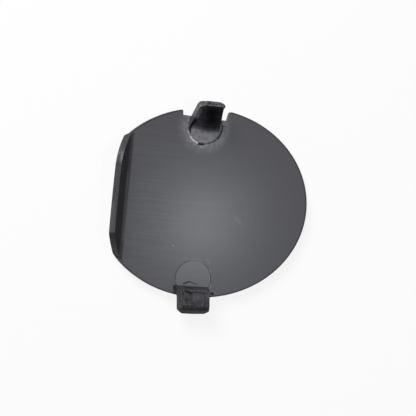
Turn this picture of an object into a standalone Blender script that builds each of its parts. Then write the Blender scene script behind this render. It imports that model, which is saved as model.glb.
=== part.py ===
"""Bumper tow hook cover: one moulded plastic plate with a folded side, a snap tab and a locating tongue.

The dished plate lies with its painted front down. +Z points to the back of the cover, where the tab
and the tongue stand. +Y points to the notched end with the snap tab, and -X to the folded side.
"""

from math import acos, asin, atan, cos, pi, radians, sin, sqrt, tan

import bmesh
import bpy
from mathutils import Matrix, Vector

NAME = "tow_hook_cover"

# The plate is an ellipse cut off by the fold, with its back hollowed to one radius both ways.
PLATE_HALF_LENGTH = 0.0442
PLATE_HALF_HEIGHT = 0.0385
DISH_RADIUS = 0.420
WALL = 0.0024

# The side of the ellipse beyond the fold line is turned up toward the back.
FOLD_OFFSET = 0.0328
FOLD_ANGLE = radians(63)
FOLD_INNER_RADIUS = 0.0027
FLANGE_WIDTH = 0.0094
FLANGE_UPPER_TAPER = 0.0140
FLANGE_UPPER_CURVE = 2.0
FLANGE_LOWER_TAPER = 0.0104
FLANGE_LOWER_CURVE = 1.25
FLANGE_LOWER_SHORT = 0.0012

# The notch in the rim lets the snap tab bend and lets its mould insert out.
NOTCH_OFFSET = -0.0031
NOTCH_FLOOR_WIDTH = 0.0186
NOTCH_FLARE = radians(9)
NOTCH_FLOOR = 0.0345
NOTCH_TURN = radians(-1.4)
NOTCH_CORNER = 0.0007

# The snap tab is a bent strip that slopes out over the notch and then stands up.
TAB_OFFSET = -0.0029
TAB_FOOT = 0.0325
TAB_SLOPE = radians(43)
TAB_LEAN = radians(3)
TAB_KNEE_HEIGHT = 0.0064
TAB_HEIGHT = 0.0140
TAB_BEND_RADIUS = 0.0045
TAB_ROOT_RADIUS = 0.0045
TAB_THICKNESS = 0.0024
TAB_TIP_THICKNESS = 0.0018
TAB_FOOT_WIDTH = 0.0127
TAB_TIP_WIDTH = 0.0073
TAB_TIP_RADIUS = 0.0009
TAB_CORNER_RUN = 0.0021
TAB_CORNER_CUT = 0.0010
TAB_EDGE_RADIUS = 0.0005

# The tongue reaches past the rim and goes in behind the bumper first.
TONGUE_OFFSET = -0.0017
TONGUE_SKEW = radians(5.5)
TONGUE_REACH = 0.0449
TONGUE_LENGTH = 0.0108
TONGUE_INNER_FACE = TONGUE_REACH - TONGUE_LENGTH
TONGUE_DRAFT = radians(1)
TONGUE_HEIGHT = 0.0080
TONGUE_GAP = 0.0017
TONGUE_NOSE_RUN = 0.0040
TONGUE_FOOT_WIDTH = 0.0145
TONGUE_TOP_WIDTH = 0.0109
TONGUE_NOSE_RADIUS = 0.0008
TONGUE_SEAT_RADIUS = 0.0014
TONGUE_CORNER_RUN = 0.0020
TONGUE_CORNER_CUT = 0.0026
TONGUE_NOSE_SLANT = radians(4)
TONGUE_EDGE_RADIUS = 0.0004
TONGUE_WALL = 0.0009
TONGUE_RECESS_DEPTH = 0.0005

# Round witness marks are left by the two mould inserts.
TAB_MARK_OFFSET = -0.0028
TAB_MARK_CENTRE = 0.0310
TAB_MARK_RADIUS = 0.0069
TONGUE_MARK_OFFSET = -0.0014
TONGUE_MARK_SETBACK = 0.0031
TONGUE_MARK_CENTRE = TONGUE_INNER_FACE - TONGUE_MARK_SETBACK
TONGUE_MARK_RADIUS = 0.0075
MARK_WIDTH = 0.0004
MARK_DEPTH = 0.0003
MARK_OVERLAP = 0.0010

# How finely curves are divided, how far a cutter runs past what it cuts, and how deep a fillet's edge is sunk.
DISH_STEP = 0.0036
RIM_STEPS = 120
MARK_STEPS = 56
BEND_STEPS = 8
CORNER_STEPS = 6
OVERRUN = 0.003
SINK = 0.00005


def clear_scene():
    for obj in list(bpy.data.objects):
        bpy.data.objects.remove(obj, do_unlink=True)


def make_collection(name):
    collection = bpy.data.collections.new(name)
    bpy.context.scene.collection.children.link(collection)
    return collection


def make_material():
    material = bpy.data.materials.new("black_moulded_plastic")
    material.use_nodes = True
    shader = material.node_tree.nodes["Principled BSDF"]
    shader.inputs["Base Color"].default_value = (0.055, 0.056, 0.062, 1.0)
    shader.inputs["Roughness"].default_value = 0.5
    shader.inputs["Metallic"].default_value = 0.0
    return material


def dish_height(x, y):
    """Height of the back surface over its lowest point."""
    return 2 * DISH_RADIUS - sqrt(DISH_RADIUS**2 - x * x) - sqrt(DISH_RADIUS**2 - y * y)


def ellipse_height(x):
    """Half the plate's height, measured along Y, at a given x."""
    return PLATE_HALF_HEIGHT * sqrt(1 - (x / PLATE_HALF_LENGTH) ** 2)


def rounded(points, radii, steps):
    """Replace each corner of an outline by an arc of its own radius; zero keeps the corner."""
    outline = []
    for i, corner in enumerate(points):
        if radii[i] == 0:
            outline.append(corner)
            continue
        here = Vector(corner)
        back = (Vector(points[i - 1]) - here).normalized()
        ahead = (Vector(points[(i + 1) % len(points)]) - here).normalized()
        half = back.angle(ahead) / 2
        centre = here + (back + ahead).normalized() * radii[i] / sin(half)
        start = here + back * radii[i] / tan(half) - centre
        end = here + ahead * radii[i] / tan(half) - centre
        turn = start.angle_signed(end)
        for k in range(steps + 1):
            outline.append(tuple(centre + Matrix.Rotation(-turn * k / steps, 2) @ start))
    return outline


def to_mesh(curve, collection):
    """Turn a curve object into a mesh object with its caps welded on."""
    depsgraph = bpy.context.evaluated_depsgraph_get()
    mesh = bpy.data.meshes.new_from_object(curve.evaluated_get(depsgraph))
    bm = bmesh.new()
    bm.from_mesh(mesh)
    bmesh.ops.remove_doubles(bm, verts=bm.verts, dist=0.00001)
    bm.to_mesh(mesh)
    bm.free()
    solid = bpy.data.objects.new(curve.name, mesh)
    collection.objects.link(solid)
    bpy.data.objects.remove(curve, do_unlink=True)
    return solid


def prism(name, outlines, thickness, matrix, collection):
    """A flat outline, or an outline with holes, given an even thickness about its own plane."""
    data = bpy.data.curves.new(name, "CURVE")
    data.dimensions = "2D"
    data.fill_mode = "BOTH"
    data.extrude = thickness / 2
    for outline in outlines:
        spline = data.splines.new("POLY")
        spline.points.add(len(outline) - 1)
        for point, (u, v) in zip(spline.points, outline):
            point.co = (u, v, 0, 1)
        spline.use_cyclic_u = True
    curve = bpy.data.objects.new(name, data)
    collection.objects.link(curve)
    bpy.context.view_layer.update()
    solid = to_mesh(curve, collection)
    solid.data.transform(matrix)
    return solid


def boolean(target, tool, operation):
    modifier = target.modifiers.new(f"{operation.lower()} {tool.name}", "BOOLEAN")
    modifier.operation = operation
    modifier.solver = "EXACT"
    modifier.object = tool
    tool.hide_render = True
    tool.display_type = "WIRE"


def soften(target, radius):
    """Round the sharp edges of a tab or tongue before it joins the plate."""
    bevel = target.modifiers.new("soft edges", "BEVEL")
    bevel.width = radius
    bevel.segments = 2
    bevel.limit_method = "ANGLE"
    bevel.angle_limit = radians(40)


def side_plane():
    """Local x and y lie along world Y and Z, and the thickness runs along world X."""
    return Matrix(((0, 0, 1, 0), (1, 0, 0, 0), (0, 1, 0, 0), (0, 0, 0, 1)))


def end_plane(y, z):
    """Local x and y lie along world X and Z, and the thickness runs along world Y."""
    return Matrix.Translation((0, y, z)) @ Matrix.Rotation(pi / 2, 4, "X")


def sheet_profile():
    """The back surface seen along Y, from the far rim to the top of the flange."""
    start = PLATE_HALF_LENGTH + OVERRUN
    fold_tilt = asin(FOLD_OFFSET / DISH_RADIUS)
    tangent = FOLD_INNER_RADIUS * tan((FOLD_ANGLE - fold_tilt) / 2)
    flat_end = -FOLD_OFFSET + tangent * cos(fold_tilt)
    count = round((start - flat_end) / DISH_STEP)
    points = []
    for k in range(count + 1):
        x = start + (flat_end - start) * k / count
        points.append((x, dish_height(x, 0)))
    x, z = points[-1]
    centre_x = x + FOLD_INNER_RADIUS * sin(fold_tilt)
    centre_z = z + FOLD_INNER_RADIUS * cos(fold_tilt)
    for k in range(1, BEND_STEPS + 1):
        angle = fold_tilt + (FOLD_ANGLE - fold_tilt) * k / BEND_STEPS
        points.append((centre_x - FOLD_INNER_RADIUS * sin(angle), centre_z - FOLD_INNER_RADIUS * cos(angle)))
    x, z = points[-1]
    length = FLANGE_WIDTH + OVERRUN
    points.append((x - length * cos(FOLD_ANGLE), z + length * sin(FOLD_ANGLE)))
    return points


def make_sheet(collection):
    """The dished sheet with its turned-up side, before it is trimmed to the outline."""
    mesh = bpy.data.meshes.new(NAME)
    bm = bmesh.new()
    verts = [bm.verts.new((x, 0, z - DISH_RADIUS)) for x, z in sheet_profile()]
    for a, b in zip(verts, verts[1:]):
        bm.edges.new((a, b))
    bm.to_mesh(mesh)
    bm.free()
    sheet = bpy.data.objects.new(NAME, mesh)
    collection.objects.link(sheet)
    half_turn = asin((PLATE_HALF_HEIGHT + OVERRUN) / DISH_RADIUS)
    sheet.location = (0, 0, DISH_RADIUS)
    sheet.rotation_euler = (-half_turn, 0, 0)
    screw = sheet.modifiers.new("sweep the profile across the plate", "SCREW")
    screw.axis = "X"
    screw.angle = 2 * half_turn
    screw.steps = round(2 * (PLATE_HALF_HEIGHT + OVERRUN) / DISH_STEP)
    screw.render_steps = screw.steps
    screw.merge_threshold = 0.0001
    screw.use_normal_flip = True
    solidify = sheet.modifiers.new("wall", "SOLIDIFY")
    solidify.thickness = WALL
    solidify.offset = -1
    solidify.use_even_offset = True
    return sheet


def rim_angle(x):
    """How far round the ellipse its edge lies this far out on the folded side."""
    return pi - asin(ellipse_height(x) / PLATE_HALF_HEIGHT)


def plate_outline():
    """Plan of the plate: the ellipse, which also trims the lower end of the turned-up side, and clears the rest."""
    upper = FOLD_OFFSET + 0.3 * WALL
    lower = min(FOLD_OFFSET + 2.6 * WALL, 0.95 * PLATE_HALF_LENGTH)
    start, end = -rim_angle(lower), rim_angle(upper)
    points = []
    for k in range(RIM_STEPS + 1):
        angle = start + (end - start) * k / RIM_STEPS
        points.append((PLATE_HALF_LENGTH * cos(angle), PLATE_HALF_HEIGHT * sin(angle)))
    far = -FOLD_OFFSET - FLANGE_WIDTH - 2 * OVERRUN
    clear = points[-1][1] - 0.7 * WALL
    points += [(-upper - 1.4 * WALL, clear), (far, clear), (far, points[0][1])]
    return points


def flange_width(y, half):
    """Width of the turned-up side: even along its middle, and tapered in a curve toward each end."""
    if y > 0:
        end, taper, curve = half, FLANGE_UPPER_TAPER, FLANGE_UPPER_CURVE
    else:
        end, taper, curve = half - FLANGE_LOWER_SHORT, FLANGE_LOWER_TAPER, FLANGE_LOWER_CURVE
    share = (abs(y) - end + taper) / taper
    return FLANGE_WIDTH * (1 - min(max(share, 0), 1) ** curve)


def flange_offcut_outline():
    """What is cut away round the flange, as (distance up the flange, y)."""
    half = ellipse_height(FOLD_OFFSET)
    steps = RIM_STEPS // 2
    far = FLANGE_WIDTH + 3 * OVERRUN
    side = PLATE_HALF_HEIGHT + 2 * OVERRUN
    points = [(0, -side), (0, -half)]
    for k in range(1, steps):
        y = -half * cos(pi * k / steps)
        points.append((flange_width(y, half), y))
    points += [(0, half), (0, side), (far, side), (far, -side)]
    return points


def trim_sheet(sheet, cutters):
    depth = 0.08
    outline = prism("plate_outline", [plate_outline()], depth, Matrix.Identity(4), cutters)
    boolean(sheet, outline, "INTERSECT")
    along = Vector((-cos(FOLD_ANGLE), 0, sin(FOLD_ANGLE)))
    across = Vector((0, 1, 0))
    normal = along.cross(across)
    matrix = Matrix((along, across, normal)).transposed().to_4x4()
    matrix.translation = (-FOLD_OFFSET, 0, dish_height(FOLD_OFFSET, 0))
    offcut = prism("flange_offcut", [flange_offcut_outline()], 4 * WALL, matrix, cutters)
    boolean(sheet, offcut, "DIFFERENCE")


def rim_crossing(foot, up):
    """Where a line that starts inside the plate meets its rim."""
    near, far = 0, PLATE_HALF_HEIGHT
    for _ in range(40):
        reach = (near + far) / 2
        point = foot + up * reach
        if abs(point.x) < PLATE_HALF_LENGTH and point.y < ellipse_height(point.x):
            near = reach
        else:
            far = reach
    return foot + up * near


def notch_side(side):
    """One side of the notch from its floor out past the rim, with a rounded corner where it meets the rim."""
    turn = Matrix.Rotation(NOTCH_TURN, 2)
    foot = Vector((NOTCH_OFFSET, NOTCH_FLOOR)) + turn @ Vector((side * NOTCH_FLOOR_WIDTH / 2, 0))
    up = turn @ Vector((side * sin(NOTCH_FLARE), cos(NOTCH_FLARE)))
    corner = rim_crossing(foot, up)
    slope = -(PLATE_HALF_HEIGHT / PLATE_HALF_LENGTH) ** 2 * corner.x / corner.y
    along = Vector((side, side * slope)).normalized()
    start = corner - up * NOTCH_CORNER
    middle = corner + (along - up) * 0.3 * NOTCH_CORNER
    end = corner + along * NOTCH_CORNER
    past = end + (end - middle).normalized() * OVERRUN
    return [tuple(point) for point in (foot, start, middle, past, past + Vector((0, OVERRUN)))]


def cut_notch(sheet, cutters):
    outline = notch_side(1) + notch_side(-1)[::-1]
    boolean(sheet, prism("notch", [outline], 0.04, Matrix.Identity(4), cutters), "DIFFERENCE")


def arc(radius, start, end):
    points = []
    for k in range(MARK_STEPS + 1):
        angle = start + (end - start) * k / MARK_STEPS
        points.append((radius * cos(angle), radius * sin(angle)))
    return points


def mark_outlines(radius, reach):
    """A fine ring. Past this reach along +Y it is left open, under the tab or tongue that stands there."""
    outer = radius + MARK_WIDTH / 2
    inner = radius - MARK_WIDTH / 2
    if reach >= radius:
        return [arc(outer, 0, 2 * pi)[:-1], arc(inner, 0, 2 * pi)[:-1]]
    gap = acos(reach / radius)
    start, end = pi / 2 + gap, 5 * pi / 2 - gap
    return [arc(outer, start, end) + arc(inner, end, start)]


def cut_mark(sheet, name, x, y, radius, reach, cutters):
    """A groove round a mould insert, on the slope of the dish, with its open side away from the centre."""
    tilt = Matrix.Rotation(asin(y / DISH_RADIUS), 4, "X") @ Matrix.Rotation(-asin(x / DISH_RADIUS), 4, "Y")
    turn = Matrix.Rotation(0 if y > 0 else pi, 4, "Z")
    matrix = Matrix.Translation((x, y, dish_height(x, y))) @ tilt @ turn
    boolean(sheet, prism(name, mark_outlines(radius, reach), 2 * MARK_DEPTH, matrix, cutters), "DIFFERENCE")


def cut_marks(sheet, cutters):
    reach = NOTCH_FLOOR + MARK_OVERLAP - TAB_MARK_CENTRE
    cut_mark(sheet, "tab_mark", TAB_MARK_OFFSET, TAB_MARK_CENTRE, TAB_MARK_RADIUS, reach, cutters)
    reach = TONGUE_INNER_FACE + MARK_OVERLAP - TONGUE_MARK_CENTRE
    cut_mark(sheet, "tongue_mark", TONGUE_MARK_OFFSET, -TONGUE_MARK_CENTRE, TONGUE_MARK_RADIUS, reach, cutters)


def taper_outline(foot_width, top_width, height, end, corner_radius):
    """A trapezium seen along Y. Its sides have these widths at the foot and top, and run on to its end."""
    slope = (foot_width - top_width) / 2 / height
    low = foot_width / 2 + OVERRUN * slope
    high = foot_width / 2 - end * slope
    outline = [(-low, -OVERRUN), (low, -OVERRUN), (high, end), (-high, end)]
    return rounded(outline, [0, 0, corner_radius, corner_radius], CORNER_STEPS)


def tab_sides(line, knee_height, tip_height):
    """The inner and outer side of the strip along its centre line, thinner toward the tip."""
    inner, outer = [], []
    for i, point in enumerate(line):
        before = Vector(line[max(i - 1, 0)])
        after = Vector(line[min(i + 1, len(line) - 1)])
        along = (after - before).normalized()
        share = max(0, (point[1] - knee_height) / (tip_height - knee_height))
        thickness = TAB_THICKNESS + (TAB_TIP_THICKNESS - TAB_THICKNESS) * share
        across = Vector((-along.y, along.x)) * thickness / 2
        inner.append(tuple(Vector(point) + across))
        outer.append(tuple(Vector(point) - across))
    return inner, outer


def tab_outline(floor):
    """The snap tab seen along X: it leaves the plate in a fillet, slopes out over the notch and bends up."""
    knee = (TAB_FOOT + TAB_KNEE_HEIGHT / tan(TAB_SLOPE), floor + TAB_KNEE_HEIGHT)
    tip_height = floor + TAB_HEIGHT
    end = tip_height + OVERRUN
    tip = (knee[0] + (end - knee[1]) * tan(TAB_LEAN), end)
    line = rounded([(TAB_FOOT, floor), knee, tip], [0, TAB_BEND_RADIUS, 0], BEND_STEPS)
    inner, outer = tab_sides(line, knee[1], tip_height)

    meet = TAB_FOOT - TAB_THICKNESS / 2 / sin(TAB_SLOPE)
    surface = dish_height(TAB_OFFSET, meet) - SINK
    corner = (meet - (floor - surface) / tan(TAB_SLOPE), surface)
    start = corner[0] - 1.5 * TAB_ROOT_RADIUS * tan(TAB_SLOPE / 2)
    flat = (start, dish_height(TAB_OFFSET, start) - SINK)
    fillet = rounded([flat, corner, inner[1]], [0, TAB_ROOT_RADIUS, 0], BEND_STEPS)

    root = floor - 0.6 * WALL
    heel = (outer[0][0] - (outer[0][1] - root) / tan(TAB_SLOPE), root)
    return [(start, root)] + fillet + inner[2:] + outer[:0:-1] + [heel]


def tab_corner_outline():
    """What is cut from the outer corner of the tip, seen along the corner, which lies at the origin."""
    run, cut = TAB_CORNER_RUN, TAB_CORNER_CUT
    shape = [(-1.3, 0.3), (-0.45, -0.45), (-0.05, -1.0), (0.15, -1.9), (1.0, -1.9), (1.0, 0.3)]
    return [(run * x, cut * y) for x, y in shape]


def cut_tab_corner(tab, floor, cutters):
    """Take off the outer corner of the tip on the side away from the fold."""
    side = TAB_OFFSET + TAB_TIP_WIDTH / 2
    knee = TAB_FOOT + TAB_KNEE_HEIGHT / tan(TAB_SLOPE)
    outer = knee + (TAB_HEIGHT - TAB_KNEE_HEIGHT) * tan(TAB_LEAN) + TAB_TIP_THICKNESS / 2
    taper = atan((TAB_FOOT_WIDTH - TAB_TIP_WIDTH) / 2 / TAB_HEIGHT)
    place = Matrix.Translation((side, outer, floor + TAB_HEIGHT)) @ Matrix.Rotation(-taper, 4, "Y")
    corner = prism("snap_tab_corner", [tab_corner_outline()], 2 * TAB_HEIGHT, place, cutters)
    boolean(tab, corner, "DIFFERENCE")


def add_snap_tab(sheet, cutters):
    floor = dish_height(TAB_OFFSET, NOTCH_FLOOR)
    place = Matrix.Translation((TAB_OFFSET, 0, 0))
    tab = prism("snap_tab", [tab_outline(floor)], 2 * TAB_FOOT_WIDTH, place @ side_plane(), cutters)
    outline = taper_outline(TAB_FOOT_WIDTH, TAB_TIP_WIDTH, TAB_HEIGHT, TAB_HEIGHT, TAB_TIP_RADIUS)
    taper = prism("snap_tab_taper", [outline], 0.04, place @ end_plane(TAB_FOOT, floor), cutters)
    boolean(tab, taper, "INTERSECT")
    cut_tab_corner(tab, floor, cutters)
    soften(tab, TAB_EDGE_RADIUS)
    boolean(sheet, tab, "UNION")


def tongue_profile(floor):
    """The tongue seen along X: inner face, top, sloping nose, and the seat under it that clears the bumper skin.

    The seat starts over the middle of the rim's wall, or a wall's thickness back from the nose of a short tongue.
    """
    top = floor + TONGUE_HEIGHT
    seat = floor + TONGUE_GAP
    root = floor - 0.6 * WALL
    rim = min(PLATE_HALF_HEIGHT - WALL / 2, TONGUE_REACH - WALL)
    points = [
        (-TONGUE_INNER_FACE + (floor - root) * tan(TONGUE_DRAFT), root),
        (-rim, root),
        (-rim, seat),
        (-TONGUE_REACH, seat),
        (-TONGUE_REACH, seat + WALL / 2),
        (-TONGUE_REACH + TONGUE_NOSE_RUN, top),
        (-TONGUE_INNER_FACE - TONGUE_HEIGHT * tan(TONGUE_DRAFT), top),
    ]
    return rounded(points, [0, 0, TONGUE_SEAT_RADIUS, 0, 0, TONGUE_NOSE_RADIUS, 0], CORNER_STEPS)


def tongue_plan():
    """The tongue seen from above, with its two outer corners cut off and its nose a little aslant."""
    ratio = TONGUE_CORNER_RUN / TONGUE_CORNER_CUT
    wide = TONGUE_FOOT_WIDTH / 2 + OVERRUN
    inner = -TONGUE_INNER_FACE + OVERRUN
    tip = TONGUE_FOOT_WIDTH / 2 - TONGUE_CORNER_CUT
    slant = 2 * tip * tan(TONGUE_NOSE_SLANT)
    end = -TONGUE_REACH - 0.4 * slant
    side = end + (TONGUE_CORNER_CUT + OVERRUN) * ratio
    return [(wide, inner), (-wide, inner), (-wide, side), (-tip, end), (tip, end + slant), (wide, side + slant)]


def tongue_recess_plan():
    half = TONGUE_TOP_WIDTH / 2 - TONGUE_WALL
    near = -TONGUE_INNER_FACE - TONGUE_HEIGHT * tan(TONGUE_DRAFT) - TONGUE_WALL
    far = -TONGUE_REACH + TONGUE_NOSE_RUN + TONGUE_WALL
    points = [(half, near), (-half, near), (-half, far), (half, far)]
    return rounded(points, [TONGUE_WALL / 2] * 4, CORNER_STEPS)


def tongue_place():
    """The tongue's sides slant across the plate, while its inner face and nose lie along X."""
    skew = Matrix.Identity(4)
    skew[0][1] = -tan(TONGUE_SKEW)
    foot = Matrix.Translation((TONGUE_OFFSET, -TONGUE_INNER_FACE, 0))
    return foot @ skew @ Matrix.Translation((0, TONGUE_INNER_FACE, 0))


def add_tongue(sheet, cutters):
    floor = dish_height(TONGUE_OFFSET, PLATE_HALF_HEIGHT)
    place = tongue_place()
    width = 2 * TONGUE_FOOT_WIDTH
    tongue = prism("tongue", [tongue_profile(floor)], width, place @ side_plane(), cutters)
    outline = taper_outline(TONGUE_FOOT_WIDTH, TONGUE_TOP_WIDTH, TONGUE_HEIGHT, TONGUE_HEIGHT + OVERRUN, 0)
    taper = prism("tongue_taper", [outline], 0.04, place @ end_plane(-TONGUE_REACH, floor), cutters)
    plan = prism("tongue_plan", [tongue_plan()], 0.04, place @ Matrix.Translation((0, 0, floor)), cutters)
    top = place @ Matrix.Translation((0, 0, floor + TONGUE_HEIGHT))
    recess = prism("tongue_recess", [tongue_recess_plan()], 2 * TONGUE_RECESS_DEPTH, top, cutters)
    boolean(tongue, taper, "INTERSECT")
    boolean(tongue, plan, "INTERSECT")
    soften(tongue, TONGUE_EDGE_RADIUS)
    boolean(tongue, recess, "DIFFERENCE")
    boolean(sheet, tongue, "UNION")


def finish(sheet):
    """Fix the shape as one mesh that stands on the origin, and shade it."""
    bpy.context.view_layer.update()
    depsgraph = bpy.context.evaluated_depsgraph_get()
    mesh = bpy.data.meshes.new_from_object(sheet.evaluated_get(depsgraph))
    mesh.transform(sheet.matrix_world)
    sheet.modifiers.clear()
    sheet.data = mesh
    sheet.location = (0, 0, 0)
    sheet.rotation_euler = (0, 0, 0)
    low = Vector([min(v.co[i] for v in mesh.vertices) for i in range(3)])
    high = Vector([max(v.co[i] for v in mesh.vertices) for i in range(3)])
    mesh.transform(Matrix.Translation((-(low.x + high.x) / 2, -(low.y + high.y) / 2, -low.z)))
    mesh.materials.clear()
    mesh.materials.append(make_material())
    mesh.shade_smooth()
    mesh.set_sharp_from_angle(angle=radians(30))


def main():
    clear_scene()
    parts = make_collection(NAME)
    cutters = make_collection("cutters")
    sheet = make_sheet(parts)
    trim_sheet(sheet, cutters)
    cut_notch(sheet, cutters)
    cut_marks(sheet, cutters)
    add_snap_tab(sheet, cutters)
    add_tongue(sheet, cutters)
    finish(sheet)


main()
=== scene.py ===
from math import cos, radians, sin

import bpy
from mathutils import Matrix, Vector

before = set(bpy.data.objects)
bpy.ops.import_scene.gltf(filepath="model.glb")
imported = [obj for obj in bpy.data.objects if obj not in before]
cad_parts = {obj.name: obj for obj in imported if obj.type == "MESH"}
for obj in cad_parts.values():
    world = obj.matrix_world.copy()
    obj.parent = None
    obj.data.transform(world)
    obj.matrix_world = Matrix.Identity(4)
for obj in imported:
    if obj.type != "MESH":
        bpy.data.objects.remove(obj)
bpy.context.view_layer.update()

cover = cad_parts["tow_hook_cover"]
mm = 0.001


# camera: looks down on the back of the cover, a little from its folded side
cameraView = {
    "place": (-0.1137232, 0.0218118, 0.3977215),
    "right": (0.957524, 0.103111, 0.269289),
    "up": (-0.084939, 0.993304, -0.078315),
    "back": (-0.275561, 0.052116, 0.959870),
    "lens": 87.353,
    "sensor": 36.0,
    "nearest": 0.01,
}


def makeCamera():
    lens = bpy.data.cameras.new("photoCamera")
    lens.lens = cameraView["lens"]
    lens.sensor_width = cameraView["sensor"]
    lens.clip_start = cameraView["nearest"]
    camera = bpy.data.objects.new("photoCamera", lens)
    axes = Matrix((cameraView["right"], cameraView["up"], cameraView["back"])).transposed()
    camera.matrix_world = Matrix.Translation(cameraView["place"]) @ axes.to_4x4()
    bpy.context.scene.collection.objects.link(camera)
    bpy.context.scene.camera = camera
    print("camera placed")


# lamps: a wide softbox up and to the left behind the tab, a smaller one whose sheen lies on the plate,
# and a weak one low on the folded side
lamps = {
    "keySoftbox": {
        "place": (-0.47, 0.60, 0.62), "size": 0.50, "watts": 11.0, "colour": (1.0, 0.99, 0.97),
    },
    "sheenSoftbox": {
        "place": (0.451, -0.069, 1.600), "size": 0.19, "watts": 5.3, "colour": (0.90, 0.96, 1.0),
    },
    "lowFill": {
        "place": (-0.85, 0.05, 0.30), "size": 0.50, "watts": 0.6, "colour": (1.0, 1.0, 1.0),
    },
}


def makeLamps():
    for name, lamp in lamps.items():
        data = bpy.data.lights.new(name, "AREA")
        data.shape = "DISK"
        data.size = lamp["size"]
        data.energy = lamp["watts"]
        data.color = lamp["colour"]
        obj = bpy.data.objects.new(name, data)
        obj.location = lamp["place"]
        obj.rotation_euler = Vector(lamp["place"]).to_track_quat("Z", "Y").to_euler()
        bpy.context.scene.collection.objects.link(obj)
    print(f"{len(lamps)} lamps placed")


def linkNodes(tree, *pairs):
    for source, target in pairs:
        tree.links.new(source, target)


# camera, glossy and transmission rays as one share
def clearRays(tree):
    rays = tree.nodes.new("ShaderNodeLightPath")
    seen = tree.nodes.new("ShaderNodeMath")
    seen.operation = "ADD"
    clear = tree.nodes.new("ShaderNodeMath")
    clear.operation = "ADD"
    clear.use_clamp = True
    linkNodes(
        tree,
        (rays.outputs["Is Camera Ray"], seen.inputs[0]),
        (rays.outputs["Is Glossy Ray"], seen.inputs[1]),
        (seen.outputs[0], clear.inputs[0]),
        (rays.outputs["Is Transmission Ray"], clear.inputs[1]),
    )
    return clear.outputs[0]


# floor: white paper that takes a faint shadow, and is clear from below so that the front can be looked at
# plainWhite is the share of even white that the camera sees in place of the lit paper
paper = {"size": 6.0, "drop": 0.0002, "colour": 0.86, "roughness": 0.9, "plainWhite": 0.86}


def makePaper():
    material = bpy.data.materials.new("whitePaper")
    material.use_nodes = True
    tree = material.node_tree
    shader = tree.nodes["Principled BSDF"]
    shader.inputs["Base Color"].default_value = (paper["colour"], paper["colour"], paper["colour"], 1)
    shader.inputs["Roughness"].default_value = paper["roughness"]
    glow = tree.nodes.new("ShaderNodeEmission")
    glow.inputs["Strength"].default_value = 1.0
    share = tree.nodes.new("ShaderNodeMath")
    share.operation = "MULTIPLY"
    share.inputs[1].default_value = paper["plainWhite"]
    mix = tree.nodes.new("ShaderNodeMixShader")
    clear = tree.nodes.new("ShaderNodeBsdfTransparent")
    under = tree.nodes.new("ShaderNodeMixShader")
    linkNodes(
        tree,
        (clearRays(tree), share.inputs[0]),
        (share.outputs[0], mix.inputs["Fac"]),
        (shader.outputs["BSDF"], mix.inputs[1]),
        (glow.outputs["Emission"], mix.inputs[2]),
        (tree.nodes.new("ShaderNodeNewGeometry").outputs["Backfacing"], under.inputs["Fac"]),
        (mix.outputs["Shader"], under.inputs[1]),
        (clear.outputs["BSDF"], under.inputs[2]),
        (under.outputs["Shader"], tree.nodes["Material Output"].inputs["Surface"]),
    )
    return material


def makeFloor():
    half = paper["size"] / 2
    mesh = bpy.data.meshes.new("paper")
    corners = [(-half, -half), (half, -half), (half, half), (-half, half)]
    mesh.from_pydata([(x, y, -paper["drop"]) for x, y in corners], [], [(0, 1, 2, 3)])
    floor = bpy.data.objects.new("paper", mesh)
    bpy.context.scene.collection.objects.link(floor)
    mesh.materials.append(makePaper())
    print("paper laid")


# black card: stands round the near and right sides, out of the camera's sight, and keeps the tab's face dark
# its ends are in degrees from +X
card = {"radius": 0.40, "height": 0.30, "from": -150, "to": -20, "steps": 24, "colour": (0.01, 0.01, 0.01, 1)}


def makeCard():
    mesh = bpy.data.meshes.new("blackCard")
    points, faces = [], []
    for k in range(card["steps"] + 1):
        angle = radians(card["from"] + (card["to"] - card["from"]) * k / card["steps"])
        x, y = card["radius"] * cos(angle), card["radius"] * sin(angle)
        points += [(x, y, 0), (x, y, card["height"])]
        if k:
            faces.append((2 * k - 2, 2 * k, 2 * k + 1, 2 * k - 1))
    mesh.from_pydata(points, [], faces)
    obj = bpy.data.objects.new("blackCard", mesh)
    bpy.context.scene.collection.objects.link(obj)
    obj.visible_camera = False
    material = bpy.data.materials.new("blackCard")
    material.use_nodes = True
    shader = material.node_tree.nodes["Principled BSDF"]
    shader.inputs["Base Color"].default_value = card["colour"]
    shader.inputs["Roughness"].default_value = 1.0
    shader.inputs["Specular IOR Level"].default_value = 0.0
    mesh.materials.append(material)
    print("card stood up")


# room: dim to the object, white where the camera and the gloss look past the paper
room = {"fill": 0.06, "tint": (0.95, 0.97, 1.0, 1), "white": (1, 1, 1, 1)}


def makeRoom():
    world = bpy.data.worlds.new("room")
    bpy.context.scene.world = world
    world.use_nodes = True
    tree = world.node_tree
    tree.nodes.clear()
    dim = tree.nodes.new("ShaderNodeBackground")
    dim.inputs["Color"].default_value = room["tint"]
    dim.inputs["Strength"].default_value = room["fill"]
    white = tree.nodes.new("ShaderNodeBackground")
    white.inputs["Strength"].default_value = 1.0
    white.inputs["Color"].default_value = room["white"]
    mix = tree.nodes.new("ShaderNodeMixShader")
    out = tree.nodes.new("ShaderNodeOutputWorld")
    linkNodes(
        tree,
        (clearRays(tree), mix.inputs["Fac"]),
        (dim.outputs["Background"], mix.inputs[1]),
        (white.outputs["Background"], mix.inputs[2]),
        (mix.outputs["Shader"], out.inputs["Surface"]),
    )
    bpy.context.scene.view_settings.view_transform = "Standard"
    print("room lit")


# the plate's hollow back: the centre and radius of its curve, and its height at the centre (mm)
dish = {"centre": (-2.5, 2.12), "radius": 420.0, "floor": 2.39}


def backHeight(x, y):
    reach = (x - dish["centre"][0]) ** 2 + (y - dish["centre"][1]) ** 2
    return dish["floor"] + reach / 2 / dish["radius"]


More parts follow.
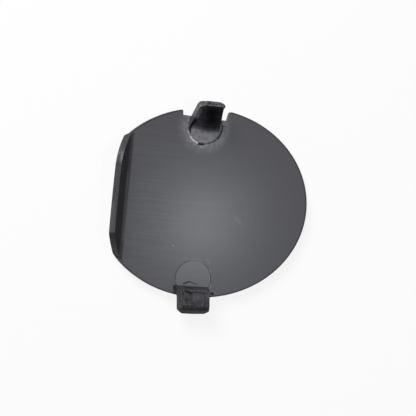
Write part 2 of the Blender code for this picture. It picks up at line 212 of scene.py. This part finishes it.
# an arc on the plate as short straight strokes, its angles in degrees from +X
def arcStrokes(centre, radius, start, end, pieces, width, strength):
    points = []
    for k in range(pieces + 1):
        angle = radians(start + (end - start) * k / pieces)
        x, y = centre[0] + radius * cos(angle), centre[1] + radius * sin(angle)
        points.append((x, y, backHeight(x, y)))
    return [(points[k], points[k + 1], width, strength) for k in range(pieces)]


# strokes: start, end, width (mm) and strength; some are marks left by the mould and by wear, the rest painted
# shade in grooves, creases and gaps and painted highlights on lit edges
# about fifty are the most that the shader can hold at once, and past that the cover renders black
tabRing = (-5.3, 33.1)
tongueRing = (-3.9, -28.9)
# dark strokes: dark marks and painted shade
darkStrokes = [
    ((-10.1, 35.2, 6.0), (-11.05, 33.4, 4.3), 0.9, 1.0),      # black arc of painted shadow in the gap by the tab's root
    ((-11.05, 33.4, 4.3), (-11.5, 31.8, 3.6), 0.8, 1.0),
    ((-11.5, 31.8, 3.6), (-11.2, 30.2, 3.4), 0.6, 0.9),
    ((-7.0, 25.95, 3.1), (-5.4, 26.0, 3.1), 0.75, 1.0),       # lowest part of the tab's mark, painted shade in its groove
    ((-7.6, -31.1, 3.8), (-5.1, -30.1, 3.7), 0.45, 0.6),      # chevron in front of the tongue
    ((-5.1, -30.1, 3.7), (-1.9, -31.2, 3.7), 0.35, 0.4),
    ((-7.8, -32.0, 8.5), (-4.8, -32.0, 7.4), 1.2, 1.0),       # painted shade in the crease where the tongue stands up
    ((-4.8, -32.0, 7.4), (3.2, -32.1, 4.6), 0.8, 0.75),
    ((-8.8, -32.8, 12.2), (-6.3, -33.8, 11.7), 1.0, 0.7),     # dark patch on the tongue
    ((5.0, -34.5, 4.1), (4.6, -34.4, 4.1), 0.8, 0.7),         # painted shadow in the gaps beside its base
    ((-11.3, -32.9, 4.4), (-11.2, -32.6, 4.4), 0.9, 0.7),
    ((-9.73, -32.3, 11.2), (-9.55, -34.6, 11.5), 0.5, 0.8),   # dark line on its left edge
    ((-8.0, -40.5, 10.1), (1.3, -40.0, 10.7), 1.7, 0.55),     # shade line across the nose
    ((-8.3, 42.2, 17.8), (-8.6, 41.5, 17.8), 0.35, 1.0),      # dark line across the tab's tip
    ((-8.1, 40.7, 14.5), (-8.1, 39.1, 9.6), 0.5, 1.0),
    ((-7.7, 41.7, 17.8), (-3.5, 41.8, 17.8), 0.3, 0.6),       # line along the tip
    ((-5.3, 33.1, 4.2), (-1.7, 33.3, 4.3), 3.4, 0.55),        # soft shade in the corner under the tab
    ((-4.5, 39.0, 9.6), (-3.6, 35.6, 6.3), 6.5, 0.75),        # the tab's shaded face
    ((-40.3, 18.3, 10.6), (-40.8, 14.4, 11.4), 1.2, 0.35),    # dull end of the fold's edge
    *arcStrokes(tabRing, 7.0, 215, 275, 3, 0.35, 0.5),        # painted shade in the groove of the tab's mark
    *arcStrokes(tabRing, 7.0, 275, 325, 3, 0.45, 0.6),
    *arcStrokes(tabRing, 7.35, 325, 368, 3, 0.5, 0.6),
]
# light strokes: pale marks and painted highlights
lightStrokes = [
    ((3.1, -25.1, 3.3), (3.7, -32.0, 3.8), 0.4, 0.12),        # right side of the tongue's mark
    ((1.2, -20.7, 3.0), (3.1, -22.6, 3.2), 0.4, 0.05),
    ((11.9, -2.9, 2.7), (14.1, -4.4, 2.8), 1.2, 0.03),        # scuff and speck on the plate
    ((-13.6, -16.0, 2.9), (-13.4, -16.0, 2.9), 0.5, 0.15),
    ((-6.6, -42.0, 8.1), (1.6, -41.7, 8.6), 0.5, 0.10),       # lit edge of the nose
    ((-8.4, 40.95, 17.2), (-8.1, 40.0, 10.5), 0.9, 0.10),     # painted highlight streaks on the tab's tip
    ((-9.4, 41.6, 17.2), (-9.9, 41.2, 13.0), 0.4, 0.10),
    ((-9.8, 40.4, 11.7), (-10.2, 36.8, 7.5), 1.6, 0.25),      # painted highlight on the lit left side of the tab's face
    ((-41.1, -1.0, 11.3), (-40.8, -11.4, 11.4), 1.6, 0.035),  # painted highlight along the lit edge of the fold
    ((-35.1, 11.9, 4.1), (-34.5, -15.3, 4.1), 0.9, 0.06),     # painted light on the foot of the fold
    *arcStrokes(tabRing, 7.15, 200, 220, 1, 0.50, 0.35),      # painted highlight on the arc outside the tab's mark
    *arcStrokes(tabRing, 7.15, 220, 250, 2, 0.60, 0.8),
    *arcStrokes(tongueRing, 7.75, 55, 100, 3, 0.35, 0.04),    # faint arc outside the tongue's mark
]


def newGroup(name, inputs, outputs):
    group = bpy.data.node_groups.new(name, "ShaderNodeTree")
    for socket, kind in inputs:
        group.interface.new_socket(name=socket, in_out="INPUT", socket_type=kind)
    for socket, kind in outputs:
        group.interface.new_socket(name=socket, in_out="OUTPUT", socket_type=kind)
    return group, group.nodes.new("NodeGroupInput"), group.nodes.new("NodeGroupOutput")


# links or sets a node's first inputs, whichever each one is
def fillInputs(tree, node, values):
    for i, value in enumerate(values):
        if isinstance(value, bpy.types.NodeSocket):
            tree.links.new(value, node.inputs[i])
        else:
            node.inputs[i].default_value = value


def vectorMath(tree, operation, *values):
    node = tree.nodes.new("ShaderNodeVectorMath")
    node.operation = operation
    fillInputs(tree, node, values)
    return node


def plainMath(tree, operation, *values, clamp=False):
    node = tree.nodes.new("ShaderNodeMath")
    node.operation = operation
    node.use_clamp = clamp
    fillInputs(tree, node, values)
    return node.outputs[0]


def plus(tree, first, second):
    return plainMath(tree, "ADD", first, second)


def times(tree, first, second):
    return plainMath(tree, "MULTIPLY", first, second)


# how far a noise is above or below its middle
def swing(tree, value):
    return plainMath(tree, "SUBTRACT", value, 0.5)


# a smooth step from low to high between the two limits
def ramp(tree, value, limits, low=0.0, high=1.0):
    node = tree.nodes.new("ShaderNodeMapRange")
    node.interpolation_type = "SMOOTHSTEP"
    tree.links.new(value, node.inputs["Value"])
    node.inputs["From Min"].default_value = limits[0]
    node.inputs["From Max"].default_value = limits[1]
    node.inputs["To Min"].default_value = low
    node.inputs["To Max"].default_value = high
    return node.outputs["Result"]


# the same with its limits in mm
def zone(tree, value, limits, low=0.0, high=1.0):
    return ramp(tree, value, (limits[0] * mm, limits[1] * mm), low, high)


strokeCore = 1.3    # over 1, so that the middle of a strong stroke is solid


# the mask of a short stroke with soft sides between two points
def makeStrokeGroup():
    group, given, result = newGroup(
        "strokeMask",
        [("Place", "NodeSocketVector"), ("Start", "NodeSocketVector"), ("End", "NodeSocketVector"),
         ("Width", "NodeSocketFloat"), ("Strength", "NodeSocketFloat")],
        [("Mask", "NodeSocketFloat")],
    )
    along = vectorMath(group, "SUBTRACT", given.outputs["End"], given.outputs["Start"]).outputs[0]
    fromStart = vectorMath(group, "SUBTRACT", given.outputs["Place"], given.outputs["Start"]).outputs[0]
    reach = vectorMath(group, "DOT_PRODUCT", fromStart, along).outputs["Value"]
    square = vectorMath(group, "DOT_PRODUCT", along, along).outputs["Value"]
    share = plainMath(group, "DIVIDE", reach, square, clamp=True)
    scaled = vectorMath(group, "SCALE", along)
    group.links.new(share, scaled.inputs["Scale"])
    gap = vectorMath(group, "DISTANCE", fromStart, scaled.outputs[0]).outputs["Value"]
    side = group.nodes.new("ShaderNodeMapRange")
    side.interpolation_type = "SMOOTHSTEP"
    group.links.new(gap, side.inputs["Value"])
    side.inputs["From Min"].default_value = 0.0
    group.links.new(given.outputs["Width"], side.inputs["From Max"])
    side.inputs["To Min"].default_value = strokeCore
    side.inputs["To Max"].default_value = 0.0
    mask = plainMath(group, "MULTIPLY", side.outputs["Result"], given.outputs["Strength"], clamp=True)
    group.links.new(mask, result.inputs["Mask"])
    return group


# the strongest of all these strokes at each point
def addStrokes(tree, group, place, strokes):
    total = None
    for start, end, width, strength in strokes:
        node = tree.nodes.new("ShaderNodeGroup")
        node.node_tree = group
        tree.links.new(place, node.inputs["Place"])
        node.inputs["Start"].default_value = Vector(start) * mm
        node.inputs["End"].default_value = Vector(end) * mm
        node.inputs["Width"].default_value = width * mm
        node.inputs["Strength"].default_value = strength
        mask = node.outputs["Mask"]
        total = mask if total is None else plainMath(tree, "MAXIMUM", total, mask)
    return total


# noises: the grain, the blotches, the fine moulding lines, the streaks on the raised parts
# and the patches in the ring round the tab's mark
noises = {
    "grain": {"size": 0.5 * mm, "detail": 3.0},
    "blotch": {"size": 9 * mm, "detail": 5.0},
    "lines": {"size": 0.7 * mm, "detail": 2.0, "squeeze": (0.02, 1, 1)},
    "streaks": {"size": 0.6 * mm, "detail": 3.0, "squeeze": (1, 0.3, 0.08)},
    "patches": {"size": 1.8 * mm, "detail": 5.0},
}


def noise(tree, place, name):
    kind = noises[name]
    if "squeeze" in kind:
        place = vectorMath(tree, "MULTIPLY", place, kind["squeeze"]).outputs[0]
    node = tree.nodes.new("ShaderNodeTexNoise")
    node.inputs["Scale"].default_value = 1 / kind["size"]
    node.inputs["Detail"].default_value = kind["detail"]
    tree.links.new(place, node.inputs["Vector"])
    return node.outputs["Fac"]


# regions of the plastic: where each one sets in or fades out (mm), and how strong it is
regions = {
    "back": (1.0, 1.6),          # height over the front
    "raised": (7, 9),            # height of what stands up from the plate
    "tab": (34, 36),             # along Y
    "offFold": (-38, -34),       # along X, as the next one
    "fineLines": (-30, -10),     # the moulding lines fade away from the fold
    "polished": {"centre": (-1.5, -6.0), "radii": (0.0, 45.0)},
    "tongue": {"alongY": (-32.2, -32.6), "height": (5.0, 6.0)},
    "tongueMark": {"centre": tongueRing, "disc": (7.5, 7.9), "gain": 0.35},
    "tabMark": {
        "centre": tabRing, "halo": (6.9, 12.5), "gain": 1.6,
        "disc": (6.9, 7.3), "discShare": 0.78,
        "patchLimits": (0.40, 0.60), "patchShade": (0.55, 1.2),
    },
    "rimLine": {
        "halfLength": 44.2, "halfHeight": 38.5, "share": (0.980, 0.992),
        "height": (5.5, 6.5), "gain": 0.8,
    },
}


# a place on the plate's plane, from mm
def flatPlace(centre):
    return (centre[0] * mm, centre[1] * mm, 0)


def centreDistance(tree, flat, centre):
    return vectorMath(tree, "DISTANCE", flat, flatPlace(centre)).outputs["Value"]


# height above the front's curve, so that what lies on the back doesn't show on the front
def heightOverFront(tree, fromCentre, height):
    square = vectorMath(tree, "DOT_PRODUCT", fromCentre, fromCentre).outputs["Value"]
    rise = times(tree, square, 0.5 / (dish["radius"] * mm))
    return plainMath(tree, "SUBTRACT", height, rise)


# the blotchy ring round the tab's mark, painted paler as a sheen highlight, a little weaker inside the mark
def haloSheenMask(tree, place, flat):
    mark = regions["tabMark"]
    gap = centreDistance(tree, flat, mark["centre"])
    halo = zone(tree, gap, mark["halo"], 1.0, 0.0)
    patchy = ramp(tree, noise(tree, place, "patches"), mark["patchLimits"], *mark["patchShade"])
    inDisc = zone(tree, gap, mark["disc"], mark["discShare"], 1.0)
    patchy = times(tree, patchy, inDisc)
    return times(tree, times(tree, halo, patchy), mark["gain"])


# the paler disc inside the tongue's mark
def discMask(tree, flat):
    mark = regions["tongueMark"]
    return zone(tree, centreDistance(tree, flat, mark["centre"]), mark["disc"], mark["gain"], 0.0)


# the duller tongue
def tongueMask(tree, y, z):
    out = zone(tree, y, regions["tongue"]["alongY"])
    up = zone(tree, z, regions["tongue"]["height"])
    return times(tree, out, up)


# the dull line along the plate's rim
def rimMask(tree, fromCentre, z):
    line = regions["rimLine"]
    scale = (1 / (line["halfLength"] * mm), 1 / (line["halfHeight"] * mm), 0)
    scaled = vectorMath(tree, "MULTIPLY", fromCentre, scale).outputs[0]
    share = vectorMath(tree, "LENGTH", scaled).outputs["Value"]
    low = zone(tree, z, line["height"], 1.0, 0.0)
    return times(tree, ramp(tree, share, line["share"], 0.0, line["gain"]), low)


def blend(tree, mask, colour, over):
    node = tree.nodes.new("ShaderNodeMix")
    node.data_type = "RGBA"
    tree.links.new(mask, node.inputs["Factor"])
    tree.links.new(colour, node.inputs["A"])
    node.inputs["B"].default_value = (*over, 1)
    return node.outputs["Result"]


# plastic: black moulded plastic with a soft sheen, a little blotchy from the mould
plastic = {
    "colour": (0.0298, 0.0280, 0.0335),
    "darkColour": (0.004, 0.004, 0.004),
    "lightColour": (0.55, 0.55, 0.56),
    "roughness": 0.295,          # in the polished middle
    "rimRoughness": 0.40,
    "dullRoughness": 0.60,
    "specular": 0.30,
    "darkSpecular": 0.75,        # share that is lost in a dark stroke
    "grainDepth": 0.010 * mm,
    "blotchShade": (0.96, 1.04),
    "blotchLimits": (0.3, 0.7),
    "blotchGloss": 0.02,
    "lineGloss": 0.022,
    "lineGlossNearFold": 0.075,
    "markGloss": 0.045,
    "streakLimits": (0.38, 0.66),
    "scuffShade": (-0.5, 0.9),
    "scuffOnFold": 0.3,
    "tabWearAndHighlight": (-0.5, 0.2),
}


# everything that colour, roughness and shine are mixed from
def makeMasks(tree):
    place = tree.nodes.new("ShaderNodeTexCoord").outputs["Object"]
    axes = tree.nodes.new("ShaderNodeSeparateXYZ")
    tree.links.new(place, axes.inputs[0])
    x, y, z = axes.outputs["X"], axes.outputs["Y"], axes.outputs["Z"]
    flat = vectorMath(tree, "MULTIPLY", place, (1, 1, 0)).outputs[0]
    fromCentre = vectorMath(tree, "SUBTRACT", flat, flatPlace(dish["centre"])).outputs[0]
    masks = {"x": x, "flat": flat}
    for name in ("grain", "blotch", "lines", "streaks"):
        masks[name] = noise(tree, place, name)
    strokeGroup = makeStrokeGroup()
    masks["dark"] = addStrokes(tree, strokeGroup, place, darkStrokes)
    masks["light"] = addStrokes(tree, strokeGroup, place, lightStrokes)
    masks["tongue"] = tongueMask(tree, y, z)
    masks["rim"] = rimMask(tree, fromCentre, z)
    masks["raised"] = zone(tree, z, regions["raised"])
    # the halo's paleness is painted sheen and the tongue's disc is a paler mark; both are glossier too
    pale = plus(tree, haloSheenMask(tree, place, flat), discMask(tree, flat))
    masks["pale"] = times(tree, pale, zone(tree, heightOverFront(tree, fromCentre, z), regions["back"]))
    onTab = times(tree, zone(tree, y, regions["tab"]), masks["raised"])
    # streaks on the tab that break up its painted highlights and its shine
    worn = ramp(tree, masks["streaks"], plastic["streakLimits"], *plastic["tabWearAndHighlight"])
    masks["worn"] = plus(tree, times(tree, worn, onTab), 1.0)
    return masks


# colour: the plastic's own with its pale marks, the halo's painted sheen and scuffs, then the dark strokes
# with painted shade and the light strokes with painted highlights over it
def mixColour(tree, masks):
    shade = ramp(tree, masks["blotch"], plastic["blotchLimits"], *plastic["blotchShade"])
    offFold = zone(tree, masks["x"], regions["offFold"], plastic["scuffOnFold"], 1.0)
    scuffs = ramp(tree, masks["streaks"], plastic["streakLimits"], *plastic["scuffShade"])
    scuffs = times(tree, times(tree, scuffs, masks["raised"]), offFold)
    shade = plus(tree, shade, plus(tree, masks["pale"], scuffs))
    tint = vectorMath(tree, "SCALE", plastic["colour"])
    tree.links.new(shade, tint.inputs["Scale"])
    # the light strokes paint highlights as well as pale marks, streaky on the tab
    light = times(tree, masks["light"], masks["worn"])
    # the dark strokes paint shade as well as dark marks
    colour = blend(tree, masks["dark"], tint.outputs[0], plastic["darkColour"])
    return blend(tree, light, colour, plastic["lightColour"])


# roughness: polished in the middle, with clouds and fine lines
# and dull on the tongue, along the rim and in the dark strokes
def mixRoughness(tree, masks):
    middle = regions["polished"]
    spread = centreDistance(tree, masks["flat"], middle["centre"])
    gloss = zone(tree, spread, middle["radii"], plastic["roughness"], plastic["rimRoughness"])
    cloud = times(tree, swing(tree, masks["blotch"]), plastic["blotchGloss"])
    lineGloss = (plastic["lineGlossNearFold"], plastic["lineGloss"])
    lines = times(tree, swing(tree, masks["lines"]), zone(tree, masks["x"], regions["fineLines"], *lineGloss))
    gloss = plus(tree, gloss, plus(tree, cloud, lines))
    rough = plainMath(tree, "MAXIMUM", masks["tongue"], masks["dark"])
    rough = plainMath(tree, "MAXIMUM", rough, masks["rim"])
    dull = times(tree, rough, plastic["dullRoughness"] - plastic["roughness"])
    gloss = plus(tree, gloss, dull)
    return plainMath(tree, "SUBTRACT", gloss, times(tree, masks["pale"], plastic["markGloss"]), clamp=True)


# shine: weaker in the dark strokes, and streaky on the tab
def mixShine(tree, masks):
    kept = plainMath(tree, "SUBTRACT", 1.0, times(tree, masks["dark"], plastic["darkSpecular"]))
    return times(tree, times(tree, kept, masks["worn"]), plastic["specular"])


def makePlastic():
    material = bpy.data.materials.new("blackMouldedPlastic")
    material.use_nodes = True
    tree = material.node_tree
    shader = tree.nodes["Principled BSDF"]
    masks = makeMasks(tree)
    tree.links.new(mixColour(tree, masks), shader.inputs["Base Color"])
    tree.links.new(mixRoughness(tree, masks), shader.inputs["Roughness"])
    tree.links.new(mixShine(tree, masks), shader.inputs["Specular IOR Level"])
    bump = tree.nodes.new("ShaderNodeBump")
    bump.inputs["Distance"].default_value = plastic["grainDepth"]
    tree.links.new(masks["grain"], bump.inputs["Height"])
    tree.links.new(bump.outputs["Normal"], shader.inputs["Normal"])
    print("plastic mixed")
    return material


def dressCover():
    material = makePlastic()
    for slot in cover.material_slots:
        slot.material = material
    print("cover dressed")


makeCamera()
makeLamps()
makeFloor()
makeCard()
makeRoom()
dressCover()
